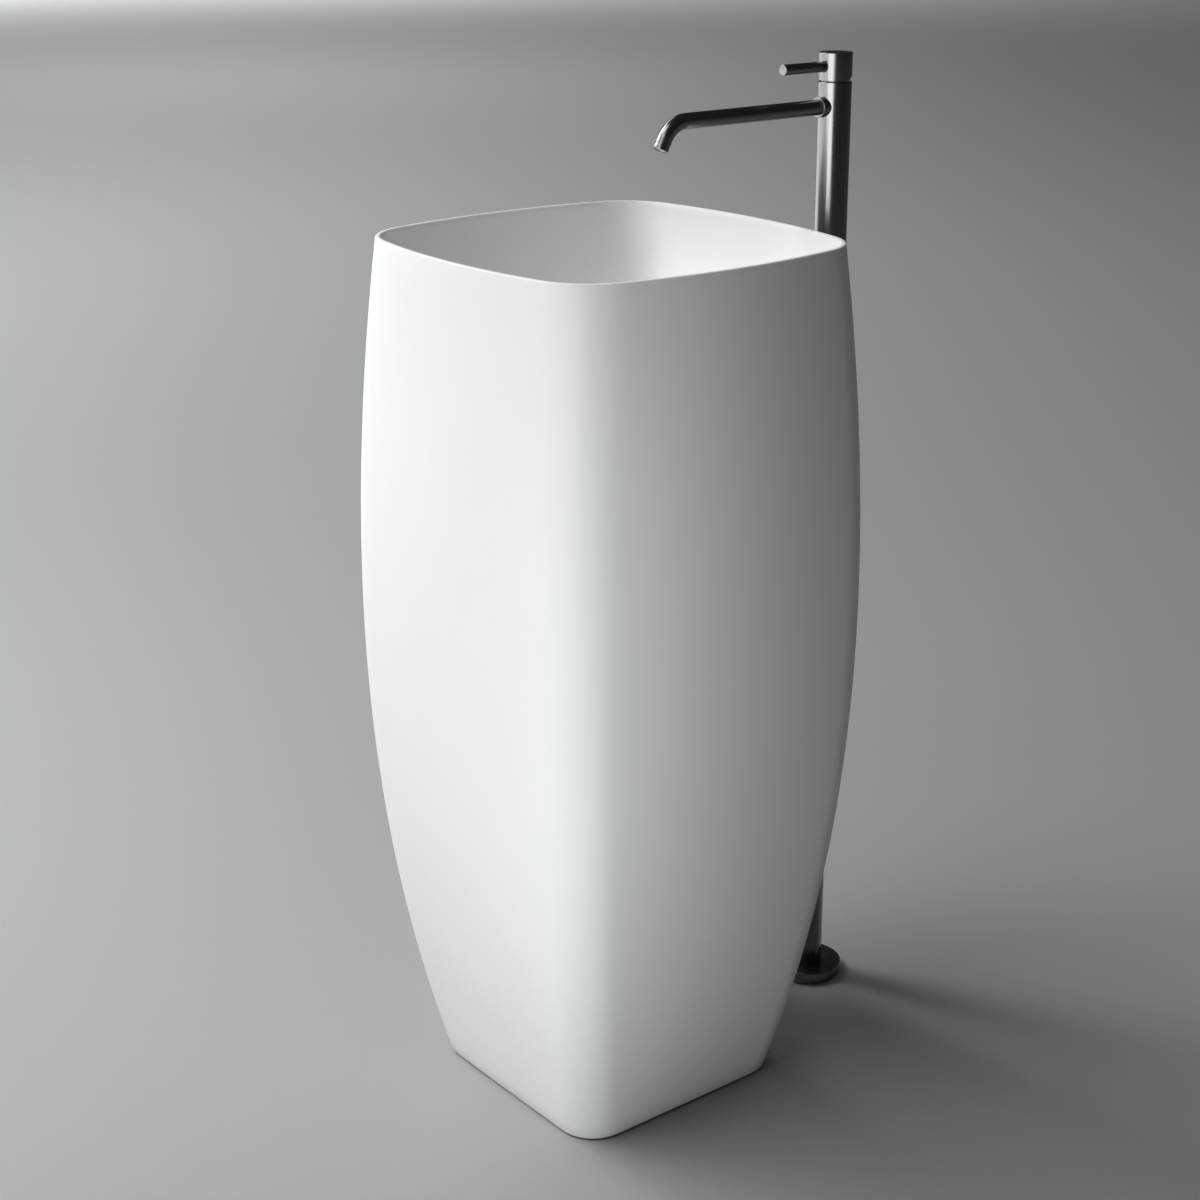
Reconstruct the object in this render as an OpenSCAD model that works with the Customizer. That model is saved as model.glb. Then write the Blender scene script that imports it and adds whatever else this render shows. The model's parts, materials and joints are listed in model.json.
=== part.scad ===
// Freestanding barrel basin with a floor-standing single-lever tap.
// Origin: the basin's vertical axis at floor level. Front is -Y, the tap stands at +Y.

/* [Basin] */
// Height of the rim above the floor
rim_z = 900; // [850:10:920]
// Half of the basin's width at the floor
foot_half = 133.5; // [130:0.5:145]
// Half of the basin's width at the rim
rim_half = 194; // [190:0.5:200]
// How far the lower part of the profile is pulled out
lower_pull = 209.2; // [200:0.2:215]
// How far the upper part of the profile is pulled out
upper_pull = 222.3; // [216:0.1:230]
// Corner radius at the floor
foot_corner = 39.6; // [34:0.2:45]
// Corner radius at the rim
rim_corner = 69.5; // [60:0.5:80]
// Bow radius of the sides at the floor
foot_bow = 13200; // [5000:100:20000]
// Bow radius of the sides at the rim
rim_bow = 650; // [550:10:900]
// Width of the lip
lip_w = 5; // [4.5:0.5:7]
// Depth of the bowl
bowl_depth = 135; // [120:1:145]
// Wall thickness of the pedestal
shell_wall = 8; // [7:0.5:8.5]

/* [Tap] */
// Distance from the basin's axis to the tap's axis
tap_y = 300; // [290:1:330]
// Outer diameter of the column
column_d = 35; // [35:1:36]
// Height of the top of the handle cap
tap_top = 1060; // [1055:1:1100]
// Diameter of the floor flange
flange_d = 80; // [76:1:90]
// Height of the floor flange
flange_h = 13.5; // [13:0.5:16]
// Outer diameter of the spout
spout_d = 16; // [15.5:0.5:16]
// Distance from the column's axis to the start of the spout's bend
spout_run = 204; // [150:1:230]
// Angle of the spout's bend
spout_bend = 62; // [40:1:90]
// Radius of the spout's bend
bend_r = 30; // [24:1:40]
// Diameter of the lever
lever_d = 11; // [9:0.5:11]
// Distance from the column's axis to the lever's tip
lever_reach = 74.5; // [60:0.5:90]

/* [Waste] */
// Diameter of the waste's flange
waste_flange_d = 64; // [62:1:66]
// Distance the plug rises when it is open
plug_travel = 9; // [7:0.5:9]
// Outer diameter of the drain pipe
drain_d = 40; // [40:1:42]

/* [Hidden] */
$fn = 64;

// Small overlap that keeps cuts clean
eps = 0.5;
ceramic = [0.93, 0.93, 0.92];
gunmetal = [0.27, 0.28, 0.29];
steel = [0.72, 0.73, 0.75];
brass = [0.72, 0.58, 0.32];
white_plastic = [0.88, 0.88, 0.86];
black_rubber = [0.1, 0.1, 0.1];

// Basin: points around one ring, and levels of the walls
ring_n = 72;
corner_bias = 6.4;
gasket_h = 2;
gasket_inset = 3;
gasket_w = 10;
foot_in = 118.5;
foot_ring_top = 48;
foot_blend_top = 84;
joint_z = rim_z - 32;
spigot_h = 12;
glue_gap = 0.5;
lip_round = 1.5;
floor_wall = 10;
bowl_floor_z = rim_z - bowl_depth;
bowl_centre = 20;
bowl_sharpness = 3.2;
bowl_draft = 0.1;
waste_hole_r = 23;
recess_r = waste_flange_d / 2 + 2;
recess_h = 2.5;

// Floor angles and their screws
bracket_x = 70;
bracket_w = 36;
bracket_h = 45;
bracket_t = 3;
bracket_back = 117.5;
bracket_reach = 40;
floor_hole_r = 4;
floor_hole_y = 96;
wall_screw_z = 28;
wall_screw_r = 3;
wall_hole_r = 3.5;
cap_seat_r = 6.5;
cap_seat_y = 136.5;

// Waste, from the bowl's floor downwards
recess_z = bowl_floor_z - recess_h;
flange_gasket_h = 1;
waste_flange_h = 2.5;
waste_r = 21;
waste_bore_r = 18;
waste_bottom = recess_z - 72;
under_z = bowl_floor_z - floor_wall;
lower_gasket_h = 4;
washer_h = 1.5;
locknut_h = 10;
bridge_top = recess_z - 22;
bridge_h = 8;
bridge_hub_r = 9;
cartridge_r = 7;
cartridge_top = recess_z - 12.5;
cartridge_h = 28;
stem_r = 4;
plug_r = 30;
plug_rest_z = recess_z + flange_gasket_h + waste_flange_h + 0.4 + plug_travel;
plug_neck_r = 15;
plug_neck_h = 7.5;
seal_r = 17.5;
spring_wire_r = 0.6;
spring_r = 6;
spring_turns = 5;

// Trap and drain, all on the basin's axis
nut_h = 28;
inlet_seal_h = 4;
inlet_r = 19;
inlet_bore_r = 16;
chamber_r = 47;
chamber_wall = 3;
cover_top = recess_z - 101;
cover_h = 6;
cover_skirt_h = 18;
dip_bottom = recess_z - 202;
chamber_bottom = recess_z - 262;
cup_r = 32;
cup_wall = 2;
cup_bottom = chamber_bottom + 40;
cup_rim = cup_bottom + 80;
socket_r = 24;
socket_h = 34;
drain_r = drain_d / 2;
drain_spigot_r = drain_r - 0.3;
drain_free_top = chamber_bottom - socket_h - 18;

// Tap: radii and levels
column_r = column_d / 2;
column_bore_r = column_r - 2;
column_top = tap_top - 29.6;
cap_base = tap_top - 28.4;
cap_wedge_angle = 21.3;
cap_bore_r = 16;
cap_ceiling = tap_top - 17.4;
pivot_z = tap_top - 27;
dome_r = 15.6;
dome_inner_r = 14.2;
dome_low = column_top + 0.4;
dome_high = pivot_z + 4.2;
column_chamfer = 0.8;
spout_z = tap_top - 55;
lever_z = tap_top - 14;
base_plate_r = 34;
base_plate_h = 6;
boss_top = 30;
boss_bore_r = 13.5;
floor_screw_pcd = 52;
floor_screw_r = 3.3;
grub_z = 10.5;
grub_r = 2;
hose_x = 8;
hose_r = 5;
valve_r = column_bore_r - 0.1;
valve_bottom = tap_top - 95;
valve_top = tap_top - 36;
hose_seat_z = valve_bottom + 15;
cartridge_seat_z = tap_top - 46;
cartridge_body_r = 12.5;
spout_r = spout_d / 2;
spout_bore_r = spout_r - 2.5;
nipple_groove_r = spout_bore_r - 1;
collar_r = 10.5;
collar_out = 6.5;
bend_tail = 11.4;
bend_ease = 0.02;
bend_lap = 0.5;
aerator_h = 6;
aerator_groove_h = 0.8;
lever_r = lever_d / 2;
lever_stud_r = 3;
stem_half = 3.5;
stem_pin_r = 1.25;
socket_depth = 9.4;
guide_r = 6.2;

// Half of the basin's width at height z: a cubic curve through foot, two pulls and rim
function half_at(z) = let (t = z / rim_z, u = 1 - t)
    u * u * u * foot_half + 3 * u * u * t * lower_pull + 3 * u * t * t * upper_pull + t * t * t * rim_half;
// Corner radius and bow radius of the outside at height z
function corner_at(z) = foot_corner + (rim_corner - foot_corner) * z / rim_z;
function bow_at(z) = let (t = z / rim_z) 1 / ((1 - t) / foot_bow + t / rim_bow);

// Distance from the axis to a rounded square with bowed sides, in direction a.
// w is the half width, r the corner radius and b the bow radius of the sides.
function fold(a) = let (m = a - 90 * floor(a / 90)) m > 45 ? 90 - m : m;
function corner_centre(w, r, b) = let (d = b - w, p = d * d - (b - r) * (b - r))
    (-d + sqrt(d * d - 2 * p)) / 2;
function reach(a, w, r, b) =
    let (f = fold(a), q = corner_centre(w, r, b), turn = atan2(q, q - w + b))
    let (side_end = atan2(b * sin(turn), w - b + b * cos(turn)))
    f <= side_end
        ? (w - b) * cos(f) + sqrt(b * b - pow((w - b) * sin(f), 2))
        : q * (cos(f) + sin(f)) + sqrt(r * r - pow(q * (sin(f) - cos(f)), 2));

// One closed ring of points at height z. The points crowd towards the corners.
function ring(w, r, b, z) = [
    for (i = [0:ring_n - 1])
        let (s = 360 * i / ring_n, a = s + corner_bias * sin(4 * s), d = reach(a, w, r, b))
        [d * cos(a), d * sin(a), z]
];
// A ring of the outside at height z, moved inwards
function wall_ring(z, inwards) =
    ring(half_at(z) - inwards, corner_at(z) - inwards, bow_at(z) - inwards, z);

// A solid whose rings close on themselves, so it is open through the middle
module ring_loop(rings) {
    m = len(rings);
    polyhedron(
        points = [for (r = rings, p = r) p],
        faces = [
            for (j = [0:m - 1], i = [0:ring_n - 1], half = [0, 1])
                let (k = (j + 1) % m, n = (i + 1) % ring_n)
                let (a = j * ring_n + i, b = j * ring_n + n, c = k * ring_n + n, d = k * ring_n + i)
                half == 0 ? [a, c, b] : [a, d, c]
        ],
        convexity = 6
    );
}

// A flat ring, from the inner to the outer radius, standing on height z
module tube(outer, inner, z, h) {
    translate([0, 0, z]) difference() {
        cylinder(r = outer, h = h);
        translate([0, 0, -eps]) cylinder(r = inner, h = h + 2 * eps);
    }
}

module hex_nut(across, bore, z, h) {
    translate([0, 0, z]) difference() {
        cylinder(d = across / cos(30), h = h, $fn = 6);
        translate([0, 0, -eps]) cylinder(r = bore, h = h + 2 * eps);
    }
}

module o_ring(mid, wire, z) {
    translate([0, 0, z]) rotate_extrude() translate([mid, 0]) circle(r = wire, $fn = 24);
}

// Thickness of the shell: thick at the foot, thin above
function foot_thickness(z) = half_at(z) - foot_in;
function shell_thickness(z) = z <= foot_ring_top ? foot_thickness(z)
    : z >= foot_blend_top ? shell_wall
    : let (t = (z - foot_ring_top) / (foot_blend_top - foot_ring_top), s = t * t * (3 - 2 * t))
      foot_thickness(foot_ring_top) * (1 - s) + shell_wall * s;

module pedestal_shell() {
    outer_steps = 18;
    rise = joint_z - gasket_h;
    outside = [for (i = [0:outer_steps]) wall_ring(gasket_h + rise * i / outer_steps, 0)];
    inside_z = [joint_z, 820, 760, 680, 600, 520, 440, 360, 280, 200, 130, foot_blend_top, 66,
        foot_ring_top, gasket_h];
    inside = [for (z = inside_z) wall_ring(z, shell_thickness(z))];
    color(ceramic) difference() {
        ring_loop(concat(outside, inside));
        for (x = [-bracket_x, bracket_x]) translate([x, 0, wall_screw_z]) rotate([-90, 0, 0]) {
            translate([0, 0, bracket_back]) cylinder(r = wall_hole_r, h = 40);
            translate([0, 0, cap_seat_y]) cylinder(r = cap_seat_r, h = 20);
        }
    }
}

// The inside of the bowl from the rim (s = 0) to the middle (s = 1): [half width, height]
bowl_mouth = rim_half - lip_w;
function bowl_curve(s) = let (z = rim_z - bowl_depth * sin(90 * s))
    [bowl_centre + (bowl_mouth - bowl_draft * (rim_z - z) - bowl_centre)
        * pow(max(cos(90 * s), 0), 2 / bowl_sharpness), z];
// The same curve moved outwards and down by the wall
function bowl_under(s) = let (a = bowl_curve(s - 0.01), b = bowl_curve(min(s + 0.01, 1)))
    let (d = b - a, n = d / norm(d), p = bowl_curve(s))
    [p[0] - n[1] * shell_wall, max(p[1] + n[0] * floor_wall, under_z)];
// Rings turn from the rim's outline to a circle on the way down
function bowl_ring(p, s) = let (c = pow(s, 2.5))
    let (corner = p[0] * (0.36 + 0.64 * c), bow = p[0] / (0.3 + 0.7 * c))
    ring(p[0], min(corner, p[0] - 0.01), max(bow, p[0] + 0.01), p[1]);

module bowl() {
    band = [for (z = [joint_z, joint_z + 11, joint_z + 22, rim_z - lip_round]) wall_ring(z, 0)];
    lip = [
        for (a = [30:30:150])
            let (side = a <= 90 ? lip_round : lip_w - lip_round)
            wall_ring(rim_z - lip_round * (1 - sin(a)), side - lip_round * cos(a))
    ];
    inside_s = [0.045, 0.1, 0.16, 0.22, 0.29, 0.36, 0.43, 0.5, 0.57, 0.64, 0.71, 0.78, 0.85, 0.93, 1];
    inside = [for (s = inside_s) bowl_ring(bowl_curve(s), s)];
    under_s = [1, 0.9, 0.8, 0.7, 0.6, 0.5, 0.42, 0.35];
    under = [for (s = under_s) bowl_ring(s == 1 ? [bowl_centre, under_z] : bowl_under(s), s)];
    spigot = [for (z = [joint_z - spigot_h, joint_z]) wall_ring(z, shell_wall + glue_gap)];
    color(ceramic) difference() {
        ring_loop(concat(band, lip, inside, under, spigot));
        translate([0, 0, under_z - eps]) cylinder(r = waste_hole_r, h = floor_wall + 20);
        translate([0, 0, recess_z]) cylinder(r = recess_r, h = 20);
    }
}

module floor_gasket() {
    outer = [for (p = wall_ring(0, gasket_inset)) [p[0], p[1]]];
    inner = [for (p = wall_ring(0, gasket_inset + gasket_w)) [p[0], p[1]]];
    color(black_rubber) linear_extrude(gasket_h) difference() {
        polygon(outer);
        polygon(inner);
    }
}

// Floor angle: a foot with a floor hole and a leg with a tapped hole for the wall screw
module bracket(x) {
    color(steel) translate([x, 0, 0]) difference() {
        union() {
            translate([-bracket_w / 2, bracket_back - bracket_reach, 0])
                cube([bracket_w, bracket_reach, bracket_t]);
            translate([-bracket_w / 2, bracket_back - bracket_t, 0])
                cube([bracket_w, bracket_t, bracket_h]);
        }
        translate([0, floor_hole_y, -eps]) cylinder(r = floor_hole_r, h = bracket_t + 2 * eps);
        translate([0, bracket_back - bracket_t - eps, wall_screw_z]) rotate([-90, 0, 0])
            cylinder(r = wall_screw_r, h = bracket_t + 2 * eps);
    }
}
module bracket_left() { bracket(-bracket_x); }
module bracket_right() { bracket(bracket_x); }

module wall_screws() {
    start = bracket_back - bracket_t - 6;
    color(steel) for (x = [-bracket_x, bracket_x]) translate([x, 0, wall_screw_z]) rotate([-90, 0, 0]) {
        translate([0, 0, start]) cylinder(r = wall_screw_r, h = cap_seat_y - start);
        translate([0, 0, cap_seat_y]) difference() {
            cylinder(r = 5.3, h = 1.8);
            translate([0, 0, 0.8]) cylinder(d = 4, h = 2, $fn = 6);
        }
    }
}

// Shallow domed covers that close the screw seats flush with the wall
module screw_caps() {
    color(ceramic) for (x = [-bracket_x, bracket_x])
        translate([x, cap_seat_y + 1.8, wall_screw_z]) rotate([-90, 0, 0]) rotate_extrude()
            polygon([[0, 0], [cap_seat_r, 0], [cap_seat_r, 1.2], [5.6, 1.8], [0, 2.1]]);
}

module waste_body() {
    top = recess_z + flange_gasket_h;
    color(steel) {
        difference() {
            union() {
                translate([0, 0, top]) rotate_extrude() polygon([
                    [0, 0], [waste_flange_d / 2, 0], [waste_flange_d / 2, 0.8],
                    [waste_flange_d / 2 - 4, waste_flange_h], [0, waste_flange_h]
                ]);
                translate([0, 0, waste_bottom]) cylinder(r = waste_r, h = top + eps - waste_bottom);
            }
            translate([0, 0, waste_bottom - eps]) cylinder(r = waste_bore_r, h = 100);
        }
        translate([0, 0, bridge_top - bridge_h]) difference() {
            union() {
                cylinder(r = bridge_hub_r, h = bridge_h);
                for (a = [0, 120, 240]) rotate(a) translate([bridge_hub_r - 1, -1.5, 0])
                    cube([waste_bore_r - bridge_hub_r + 1.5, 3, bridge_h]);
            }
            translate([0, 0, -eps]) cylinder(r = cartridge_r, h = bridge_h + 2 * eps);
        }
    }
}

module flange_gasket() {
    color(black_rubber) tube(waste_flange_d / 2 - 1, waste_r + 0.3, recess_z, flange_gasket_h);
}

module lower_gasket() {
    color(black_rubber) tube(31, waste_r + 0.2, under_z - lower_gasket_h, lower_gasket_h);
}

module waste_washer() {
    color(white_plastic) tube(30, waste_r + 0.2, under_z - lower_gasket_h - washer_h, washer_h);
}

module waste_locknut() {
    color(brass) hex_nut(55, waste_r, under_z - lower_gasket_h - washer_h - locknut_h, locknut_h);
}

// Push cartridge: a sleeve screwed into the bridge, with a blind guide for the stem
module click_cartridge() {
    color(white_plastic) difference() {
        translate([0, 0, cartridge_top - cartridge_h]) cylinder(r = cartridge_r, h = cartridge_h);
        translate([0, 0, cartridge_top - cartridge_h + 3]) cylinder(r = stem_r + 0.05, h = cartridge_h);
    }
}

module plug_cap() {
    color(steel) translate([0, 0, plug_rest_z]) difference() {
        rotate_extrude() polygon([
            [0, -plug_neck_h], [plug_neck_r - 2, -plug_neck_h], [plug_neck_r - 2, -plug_neck_h + 2],
            [plug_neck_r, -plug_neck_h + 2], [plug_neck_r, 0], [plug_r - 0.6, 0], [plug_r, 0.6],
            [plug_r, 1.8], [plug_r - 2, 2.9], [18, 4.1], [9, 4.6], [0, 4.8]
        ]);
        translate([0, 0, -plug_neck_h - eps]) cylinder(r = stem_r, h = plug_neck_h);
    }
}

module plug_seal() {
    color(black_rubber) tube(seal_r, plug_neck_r, plug_rest_z - 4.2, 2.6);
}

module plug_stem() {
    bottom = cartridge_top - cartridge_h + 3 + plug_travel + 1;
    color(steel) translate([0, 0, bottom]) cylinder(r = stem_r, h = plug_rest_z - eps - bottom);
}

// Return spring between the cartridge and the plug
module plug_spring() {
    steps = 12 * spring_turns;
    low = cartridge_top + spring_wire_r;
    high = plug_rest_z - plug_neck_h - spring_wire_r;
    sides = 8;
    points = [
        for (j = [0:steps], i = [0:sides - 1])
            let (turn = 30 * j, around = 360 * i / sides, d = spring_r + spring_wire_r * cos(around))
            [d * cos(turn), d * sin(turn), low + (high - low) * j / steps + spring_wire_r * sin(around)]
    ];
    walls = [
        for (j = [0:steps - 1], i = [0:sides - 1])
            let (n = (i + 1) % sides, a = j * sides)
            [a + i, a + sides + i, a + sides + n, a + n]
    ];
    ends = [[for (i = [0:sides - 1]) i], [for (i = [sides - 1:-1:0]) steps * sides + i]];
    color(steel) polyhedron(points = points, faces = concat(walls, ends), convexity = 10);
}

// Union nut that hooks under a collar: threaded above, narrow below
module trap_inlet_nut() {
    collar_z = waste_bottom - inlet_seal_h - 3;
    color(white_plastic) difference() {
        translate([0, 0, collar_z - 5]) cylinder(r = 26, h = nut_h);
        translate([0, 0, collar_z]) cylinder(r = waste_r, h = nut_h);
        translate([0, 0, collar_z - 5 - eps]) cylinder(r = inlet_r + 0.2, h = 10);
        for (a = [0:30:330]) rotate(a) translate([27.2, 0, collar_z - 5 - eps])
            cylinder(r = 2.2, h = nut_h + 2 * eps);
    }
}

module trap_inlet_seal() {
    color(black_rubber) tube(waste_r - 0.1, inlet_bore_r + 0.5, waste_bottom - inlet_seal_h, inlet_seal_h);
}

// Lid of the trap with the inlet spigot above and the dip tube below
module trap_cover() {
    collar_z = waste_bottom - inlet_seal_h - 3;
    color(white_plastic) difference() {
        union() {
            translate([0, 0, collar_z]) cylinder(r = waste_r - 0.2, h = 3);
            translate([0, 0, dip_bottom]) cylinder(r = inlet_r, h = collar_z + eps - dip_bottom);
            translate([0, 0, cover_top - cover_h]) rotate_extrude() polygon([
                [0, 0], [chamber_r + 3, 0], [chamber_r + 3, 3], [chamber_r, cover_h], [0, cover_h]
            ]);
            translate([0, 0, cover_top - cover_h - cover_skirt_h])
                cylinder(r = chamber_r + 3, h = cover_skirt_h + 1);
        }
        translate([0, 0, dip_bottom - eps]) cylinder(r = inlet_bore_r, h = 200);
        translate([0, 0, cover_top - cover_h - cover_skirt_h - eps]) difference() {
            cylinder(r = chamber_r, h = cover_skirt_h + eps);
            cylinder(r = inlet_r, h = cover_skirt_h + eps);
        }
    }
}

module trap_cover_seal() {
    color(black_rubber) tube(chamber_r - 0.1, chamber_r - 5, cover_top - cover_h - 2, 2);
}

module trap_chamber() {
    top = cover_top - cover_h - 2;
    color(white_plastic) difference() {
        union() {
            translate([0, 0, chamber_bottom]) cylinder(r = chamber_r, h = top - chamber_bottom);
            translate([0, 0, chamber_bottom - socket_h]) cylinder(r = socket_r, h = socket_h + eps);
        }
        translate([0, 0, chamber_bottom + 4]) cylinder(r = chamber_r - chamber_wall, h = 400);
        translate([0, 0, chamber_bottom - socket_h - eps]) cylinder(r = drain_r, h = socket_h - 6 + eps);
        translate([0, 0, chamber_bottom - 10]) cylinder(r = drain_r - 3, h = 20);
    }
}

// Cup that holds the water seal, on three legs
module trap_cup() {
    color(white_plastic) {
        difference() {
            translate([0, 0, cup_bottom]) cylinder(r = cup_r, h = cup_rim - cup_bottom);
            translate([0, 0, cup_bottom + cup_wall]) cylinder(r = cup_r - cup_wall, h = 100);
        }
        for (a = [60, 180, 300]) rotate(a) translate([cup_r - 8, -2, chamber_bottom + 4])
            cube([6, 4, cup_bottom - chamber_bottom - 4 + eps]);
    }
}

module trap_outlet_nut() {
    low = chamber_bottom - socket_h - 10;
    color(white_plastic) difference() {
        translate([0, 0, low]) cylinder(r = socket_r + 5, h = nut_h);
        translate([0, 0, low + 4]) cylinder(r = socket_r, h = nut_h);
        translate([0, 0, low - eps]) cylinder(r = drain_r + 0.3, h = 10);
        for (a = [0:30:330]) rotate(a) translate([socket_r + 6.2, 0, low - eps])
            cylinder(r = 2.2, h = nut_h + 2 * eps);
    }
}

module trap_outlet_seal() {
    color(black_rubber) tube(socket_r - 0.1, drain_spigot_r, chamber_bottom - socket_h - 5, 5);
}

// The upper end is turned down to enter the socket
module drain_pipe() {
    color(white_plastic) difference() {
        union() {
            cylinder(r = drain_r, h = drain_free_top);
            translate([0, 0, drain_free_top - eps])
                cylinder(r = drain_spigot_r, h = chamber_bottom - 14 - drain_free_top + eps);
        }
        translate([0, 0, -eps]) cylinder(r = drain_r - 2, h = chamber_bottom);
    }
}

// Everything of the tap stands on its own axis
module at_tap() { translate([0, tap_y, 0]) children(); }
// Local frame of the spout: +Z runs out of the column towards the bowl, +Y is up
module along_spout() { translate([0, tap_y, spout_z]) rotate([90, 0, 0]) children(); }
module at_spout_bend() { along_spout() translate([0, -bend_r, spout_run]) rotate([90, 0, 90]) children(); }
module at_spout_end() {
    along_spout()
        translate([0, -bend_r * (1 - cos(spout_bend)), spout_run + bend_r * sin(spout_bend)])
        rotate([spout_bend, 0, 0]) children();
}

module tap_base_plate() {
    color(steel) at_tap() difference() {
        union() {
            cylinder(r = base_plate_r, h = base_plate_h);
            cylinder(r = column_bore_r, h = boss_top);
        }
        translate([0, 0, -eps]) cylinder(r = boss_bore_r, h = boss_top + 2 * eps);
        for (a = [90, 210, 330]) rotate(a) translate([floor_screw_pcd / 2, 0, -eps])
            cylinder(r = floor_screw_r, h = base_plate_h + 2 * eps);
        for (s = [0, 180]) rotate(s) translate([0, 0, grub_z]) rotate([0, 90, 0])
            cylinder(r = grub_r, h = column_r);
    }
}

module column_grub_screws() {
    color(steel) at_tap() for (s = [0, 180]) rotate(s)
        translate([boss_bore_r, 0, grub_z]) rotate([0, 90, 0]) difference() {
            cylinder(r = grub_r, h = column_r - boss_bore_r - 0.2);
            translate([0, 0, 2]) cylinder(d = 2, h = 4, $fn = 6);
        }
}

// Cover over the base plate: a shallow cup with an eased top edge
module floor_flange() {
    r = flange_d / 2;
    color(gunmetal) at_tap() difference() {
        rotate_extrude() polygon([[0, 0], [r, 0], [r, flange_h - 1], [r - 1, flange_h], [0, flange_h]]);
        translate([0, 0, -eps]) cylinder(r = r - 3, h = flange_h - 3 + eps);
        cylinder(r = column_r + 0.1, h = flange_h + eps);
        translate([0, 0, flange_h - 2.3]) cylinder(r = column_r + 1.5, h = 1.5);
    }
}

module flange_ring() {
    color(black_rubber) at_tap() tube(column_r + 1.4, column_r, flange_h - 2.2, 1.3);
}

module column_tube() {
    color(gunmetal) difference() {
        at_tap() rotate_extrude() polygon([
            [column_bore_r, base_plate_h], [column_r, base_plate_h], [column_r, column_top - column_chamfer],
            [column_r - column_chamfer, column_top], [column_bore_r, column_top]
        ]);
        along_spout() translate([0, 0, 5]) cylinder(r = spout_r + 0.05, h = column_r);
        at_tap() translate([-column_r - eps, 0, grub_z]) rotate([0, 90, 0])
            cylinder(r = grub_r, h = column_d + 2 * eps);
    }
}

module hose(x) {
    color(steel) at_tap() translate([x, 0, 0]) difference() {
        cylinder(r = hose_r, h = hose_seat_z);
        translate([0, 0, -eps]) cylinder(r = hose_r - 1.5, h = hose_seat_z + 2 * eps);
    }
}
module hot_hose() { hose(-hose_x); }
module cold_hose() { hose(hose_x); }

module hose_nuts() {
    color(brass) at_tap() for (x = [-hose_x, hose_x]) translate([x, 0, 0])
        tube(6.6, hose_r, valve_bottom - 10, 8);
}

// Brass body in the head of the column: inlets, outlet to the spout and the cartridge's seat
module valve_body() {
    color(brass) difference() {
        at_tap() difference() {
            translate([0, 0, valve_bottom]) cylinder(r = valve_r, h = valve_top - valve_bottom);
            translate([0, 0, cartridge_seat_z]) cylinder(r = cartridge_body_r, h = 20);
            translate([0, 0, spout_z]) cylinder(r = 4, h = 20);
            for (x = [-1, 1]) {
                translate([x * hose_x, 0, valve_bottom - eps])
                    cylinder(r = hose_r, h = hose_seat_z - valve_bottom + eps);
                translate([x * 9, 0, valve_bottom]) cylinder(r = 2.5, h = 80);
            }
        }
        along_spout() cylinder(r = spout_bore_r, h = column_r);
    }
}

module cartridge_seal() {
    color(black_rubber) at_tap() difference() {
        tube(12, 4.2, cartridge_seat_z, 1);
        for (x = [-9, 9]) translate([x, 0, cartridge_seat_z - eps]) cylinder(r = 2.4, h = 3);
    }
}

module cartridge_body() {
    low = cartridge_seat_z + 1;
    color(white_plastic) at_tap() difference() {
        union() {
            translate([0, 0, low]) cylinder(r = cartridge_body_r, h = valve_top - 0.5 - low);
            translate([0, 0, valve_top - 1]) cylinder(r = 9, h = 6);
        }
        translate([0, 0, valve_top - 3]) cylinder(r = guide_r, h = 20);
        for (x = [-9, 9]) translate([x, 0, low - eps]) cylinder(r = 2.4, h = 4);
        translate([0, 0, low - eps]) cylinder(r = 3.5, h = 1.2);
    }
}

module cartridge_nut() {
    color(brass) at_tap() difference() {
        translate([0, 0, valve_top]) cylinder(r = valve_r, h = 4);
        translate([0, 0, valve_top - eps]) cylinder(r = 9.2, h = 6);
        for (a = [0:60:300]) rotate(a) translate([13, 0, valve_top + 2]) cylinder(r = 1, h = 4);
    }
}

// Ring cut from a ball about the lever's pivot. It closes the gap under the tilted cap.
module dome_cover() {
    color(gunmetal) at_tap() difference() {
        translate([0, 0, pivot_z]) sphere(r = dome_r);
        translate([0, 0, pivot_z]) sphere(r = dome_inner_r);
        translate([-20, -20, pivot_z - 20]) cube([40, 40, 20 + dome_low - pivot_z]);
        translate([-20, -20, dome_high]) cube([40, 40, 20]);
    }
}

// Slotted plate inside the dome that turns the stem, on a hub over the cartridge
module stem_carrier() {
    hub_z = valve_top + 5.4;
    slot_x = stem_half + 0.1;
    slot_y = stem_half + 1.9;
    color(white_plastic) at_tap() difference() {
        union() {
            translate([0, 0, hub_z]) cylinder(r = 8.8, h = dome_low + 1 - hub_z);
            intersection() {
                translate([0, 0, dome_low]) cylinder(r = dome_r, h = 4.6);
                translate([0, 0, pivot_z]) sphere(r = dome_inner_r);
            }
        }
        translate([-slot_x, -slot_y, hub_z - eps]) cube([2 * slot_x, 2 * slot_y, 12]);
        translate([-10, 0, pivot_z]) rotate([0, 90, 0]) cylinder(r = stem_pin_r, h = 20);
    }
}

// Cross pin that the stem tilts on
module stem_pin() {
    color(steel) at_tap() translate([-10, 0, pivot_z]) rotate([0, 90, 0]) cylinder(r = stem_pin_r, h = 20);
}

module cartridge_stem() {
    low = valve_top - 1;
    top = cap_ceiling + socket_depth - 1;
    color(brass) at_tap() difference() {
        union() {
            translate([0, 0, low]) cylinder(r = 2.5, h = pivot_z - low);
            translate([-stem_half, -stem_half, pivot_z - 4])
                cube([2 * stem_half, 2 * stem_half, top + 4 - pivot_z]);
        }
        translate([-column_r, 0, pivot_z]) rotate([0, 90, 0]) cylinder(r = stem_pin_r + 0.05, h = column_d);
        translate([0, 2.5, lever_z]) rotate([-90, 0, 0]) cylinder(r = grub_r, h = 4);
    }
}

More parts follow.
